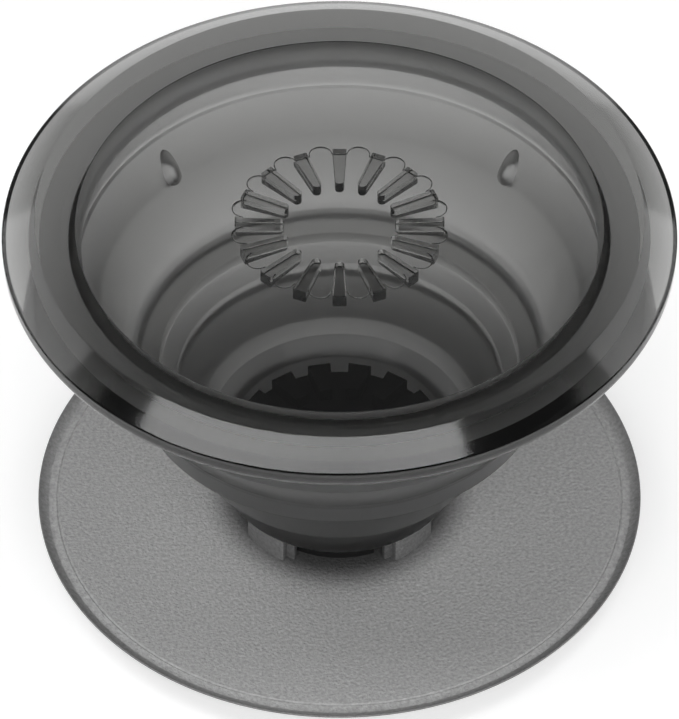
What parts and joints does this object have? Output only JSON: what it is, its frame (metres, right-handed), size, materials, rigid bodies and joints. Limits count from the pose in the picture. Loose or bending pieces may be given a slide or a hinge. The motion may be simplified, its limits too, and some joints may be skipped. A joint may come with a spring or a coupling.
{
  "type": "collapsible phone grip",
  "caption": "Collapsible phone grip: clear bevelled cap on a stepped folding bellows that locks by a quarter turn into a frosted round base with an adhesive pad.",
  "frame": {"origin": "centre of the adhesive pad's underside, on the turning axis", "axes": "+Z along the turning axis, from the pad towards the cap; -Y towards the viewer of the picture"},
  "size_m": [0.04, 0.04, 0.0259],
  "materials": {
    "clear_smoke": "polished, see-through smoke grey",
    "smoke_bellows": "satin, half see-through smoke grey soft moulding",
    "dark_smoke": "satin dark smoke grey moulding",
    "frosted_smoke": "frosted, fine grained smoke grey moulding",
    "gel_pad": "smooth tacky grey gel"
  },
  "bodies": {
    "base": {"platform": "frosted_smoke", "adhesive_pad": "gel_pad"},
    "stem": {"hub": "dark_smoke", "accordion": "smoke_bellows"},
    "top": {"cap": "clear_smoke"}
  },
  "joints": [
    {"name": "quarter_turn", "type": "hinge", "parent": "base", "child": "stem", "pos_m": [0, 0, 0.0042], "axis": [0, 0, 1], "range_deg": [0, 90]},
    {"name": "collapse", "type": "slide", "parent": "stem", "child": "top", "axis": [0, 0, 1], "range_m": [-0.01825, 0], "deforming": ["accordion"]}
  ]
}
